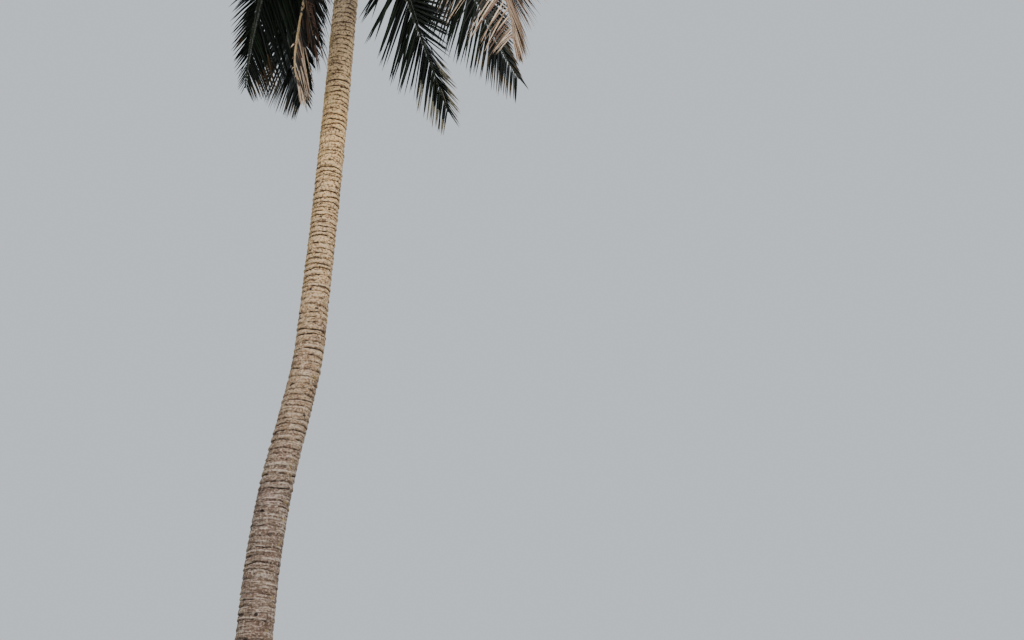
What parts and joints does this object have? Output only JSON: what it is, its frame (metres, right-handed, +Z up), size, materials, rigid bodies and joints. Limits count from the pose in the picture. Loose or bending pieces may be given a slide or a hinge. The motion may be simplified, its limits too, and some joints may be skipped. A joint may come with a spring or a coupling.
{
  "type": "coconut palm tree",
  "caption": "Tall coconut palm with a gently leaning ringed trunk, a feathery crown of arching fronds and a skirt of old fronds hanging round the trunk.",
  "frame": {"origin": "centre of the flat cut under the trunk, at ground level", "axes": "+Z up; +Y away from the viewer of the picture; +X to the right in the picture"},
  "size_m": [8.1349, 7.5857, 15.4341],
  "materials": {
    "bark": "rough ringed bark",
    "fibre": "coarse matted fibre",
    "spear": "smooth folded leaf",
    "leaf": "satin leaf",
    "dry_leaf": "dry papery leaf"
  },
  "bodies": {
    "root": {"crown_heart": "fibre", "frond_01": "leaf", "frond_02": "leaf", "frond_03": "leaf", "frond_04": "leaf", "frond_05": "leaf", "frond_06_inner": "leaf", "frond_06_outer": "leaf", "frond_07_inner": "leaf", "frond_07_outer": "leaf", "frond_08_inner": "leaf", "frond_08_outer": "leaf", "frond_09_inner": "leaf", "frond_09_outer": "leaf", "frond_10_inner": "leaf", "frond_10_outer": "leaf", "frond_11_inner": "leaf", "frond_11_outer": "leaf", "frond_12_inner": "leaf", "frond_12_outer": "leaf", "frond_13_inner": "leaf", "frond_13_outer": "leaf", "frond_14_inner": "leaf", "frond_14_outer": "leaf", "frond_15_inner": "leaf", "frond_15_outer": "leaf", "frond_16_inner": "leaf", "frond_16_outer": "leaf", "frond_17_inner": "leaf", "frond_17_outer": "leaf", "frond_18_inner": "leaf", "frond_18_outer": "leaf", "frond_behind_inner": "dry_leaf", "frond_behind_outer": "dry_leaf", "frond_dead_left": "dry_leaf", "frond_dry_right_inner": "dry_leaf", "frond_dry_right_outer": "dry_leaf", "frond_front_left_inner": "leaf", "frond_front_left_outer": "leaf", "frond_front_right_inner": "leaf", "frond_front_right_outer": "leaf", "frond_inner_left_inner": "leaf", "frond_inner_left_outer": "leaf", "frond_left_inner": "leaf", "frond_left_outer": "leaf", "frond_middle": "leaf", "frond_right_inner": "leaf", "frond_right_outer": "leaf", "spear_leaf": "spear", "trunk": "bark"}
  },
  "joints": []
}
